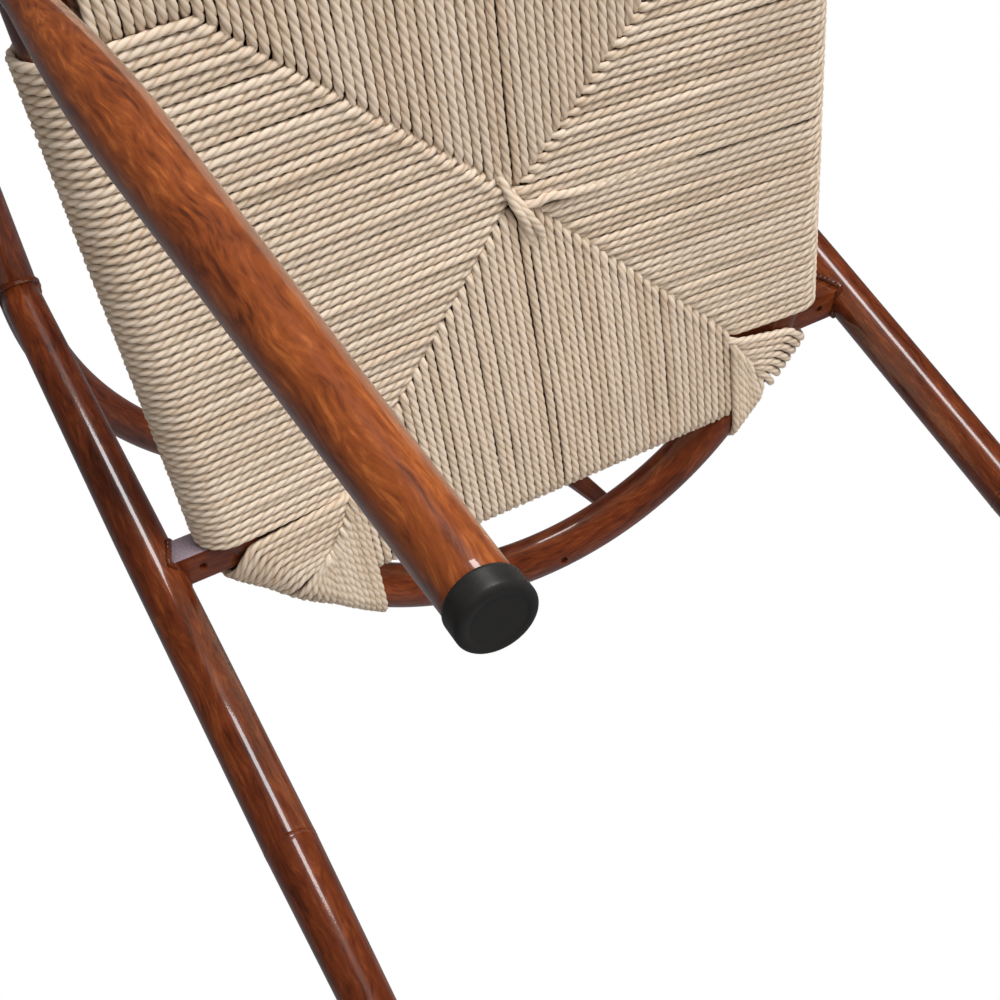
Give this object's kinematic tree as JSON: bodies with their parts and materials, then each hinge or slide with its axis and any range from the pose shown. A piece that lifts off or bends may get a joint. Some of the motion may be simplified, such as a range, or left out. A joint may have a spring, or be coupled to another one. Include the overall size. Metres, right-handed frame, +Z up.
{
  "type": "dining armchair",
  "caption": "Dining armchair of welded tapered steel tube with a curved top rail that runs on into arms, and a woven paper cord seat.",
  "frame": {"origin": "on the floor, under the middle of the chair's overall width and depth", "axes": "+Z up; the sitter faces -Y; the sitter's right hand is on the -X side"},
  "size_m": [0.4948, 0.5768, 0.6979],
  "materials": {
    "grained_steel": "glossy wood-grain transfer lacquer over steel tube",
    "black_cap": "satin",
    "paper_cord": "matt twisted paper cord"
  },
  "bodies": {
    "root": {"front_leg_right": "grained_steel", "front_leg_left": "grained_steel", "rear_post_right": "grained_steel", "rear_post_left": "grained_steel", "rear_leg_taper_right": "grained_steel", "rear_leg_taper_left": "grained_steel", "seat_hoop": "grained_steel", "front_rail": "grained_steel", "cross_rail": "grained_steel", "chord_bar": "grained_steel", "top_rail": "grained_steel", "arm_end_cap_right": "grained_steel", "arm_end_cap_left": "grained_steel", "back_slat_right": "grained_steel", "back_slat_left": "grained_steel", "cross_rail_weld_right": "grained_steel", "cross_rail_weld_left": "grained_steel", "post_top_weld_right": "grained_steel", "post_top_weld_left": "grained_steel", "slat_weld_right": "grained_steel", "slat_weld_left": "grained_steel", "front_foot_cap_right": "black_cap", "front_foot_cap_left": "black_cap", "rear_foot_cap_right": "black_cap", "rear_foot_cap_left": "black_cap", "seat_front_panel": "paper_cord", "seat_rear_panel": "paper_cord", "seat_right_panel": "paper_cord", "seat_left_panel": "paper_cord", "seat_corner_panel_right": "paper_cord", "seat_corner_panel_left": "paper_cord"}
  },
  "joints": []
}
